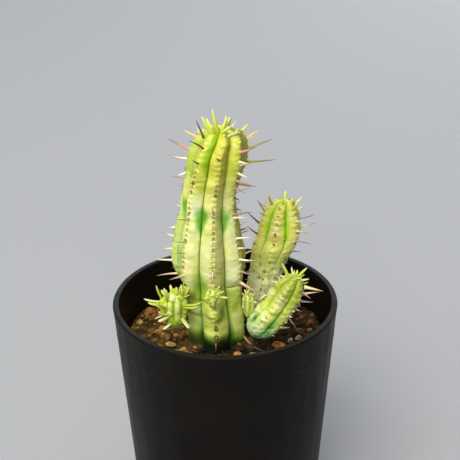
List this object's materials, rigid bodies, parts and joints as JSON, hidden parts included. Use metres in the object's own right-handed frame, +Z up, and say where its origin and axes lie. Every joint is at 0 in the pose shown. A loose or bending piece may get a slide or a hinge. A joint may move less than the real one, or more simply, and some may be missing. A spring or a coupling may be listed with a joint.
{
  "type": "potted euphorbia",
  "caption": "Young ribbed succulent with spines, a rear branch and leafy offsets, growing in a deep tapered plastic pot with a drain hole.",
  "frame": {"origin": "centre of the pot's foot, on the surface it stands on", "axes": "+Z up along the stem, the face with the leafy buds towards -Y, the second branch towards +X"},
  "size_m": [0.09, 0.09, 0.1778],
  "materials": {
    "pot_plastic": "satin",
    "soil": "matte",
    "stem_skin": "satin",
    "branch_skin": "satin",
    "pup_skin": "satin",
    "young_leaf": "satin",
    "pebble": "matte",
    "dry_spine": "matte"
  },
  "bodies": {
    "root": {"pot": "pot_plastic", "soil": "soil", "main_stem": "stem_skin", "branch_rear_right": "branch_skin", "pup_front_right": "pup_skin", "offset_front_left": "young_leaf", "bud_front": "young_leaf", "bud_right": "young_leaf", "pebble_01": "pebble", "pebble_02": "pebble", "pebble_03": "pebble", "pebble_04": "pebble", "pebble_05": "pebble", "pebble_06": "pebble", "pebble_07": "pebble", "pebble_08": "pebble", "pebble_09": "pebble", "pebble_10": "pebble", "pebble_11": "pebble", "pebble_12": "pebble", "pebble_13": "pebble", "pebble_14": "pebble", "pebble_15": "pebble", "pebble_16": "pebble", "pebble_17": "pebble", "pebble_18": "pebble", "pebble_19": "pebble", "pebble_20": "pebble", "pebble_21": "pebble", "pebble_22": "pebble", "pebble_23": "pebble", "pebble_24": "pebble", "pebble_25": "pebble", "pebble_26": "pebble", "pebble_27": "pebble", "pebble_28": "pebble", "dry_needle_1": "dry_spine", "dry_needle_2": "dry_spine", "dry_needle_3": "dry_spine"}
  },
  "joints": []
}
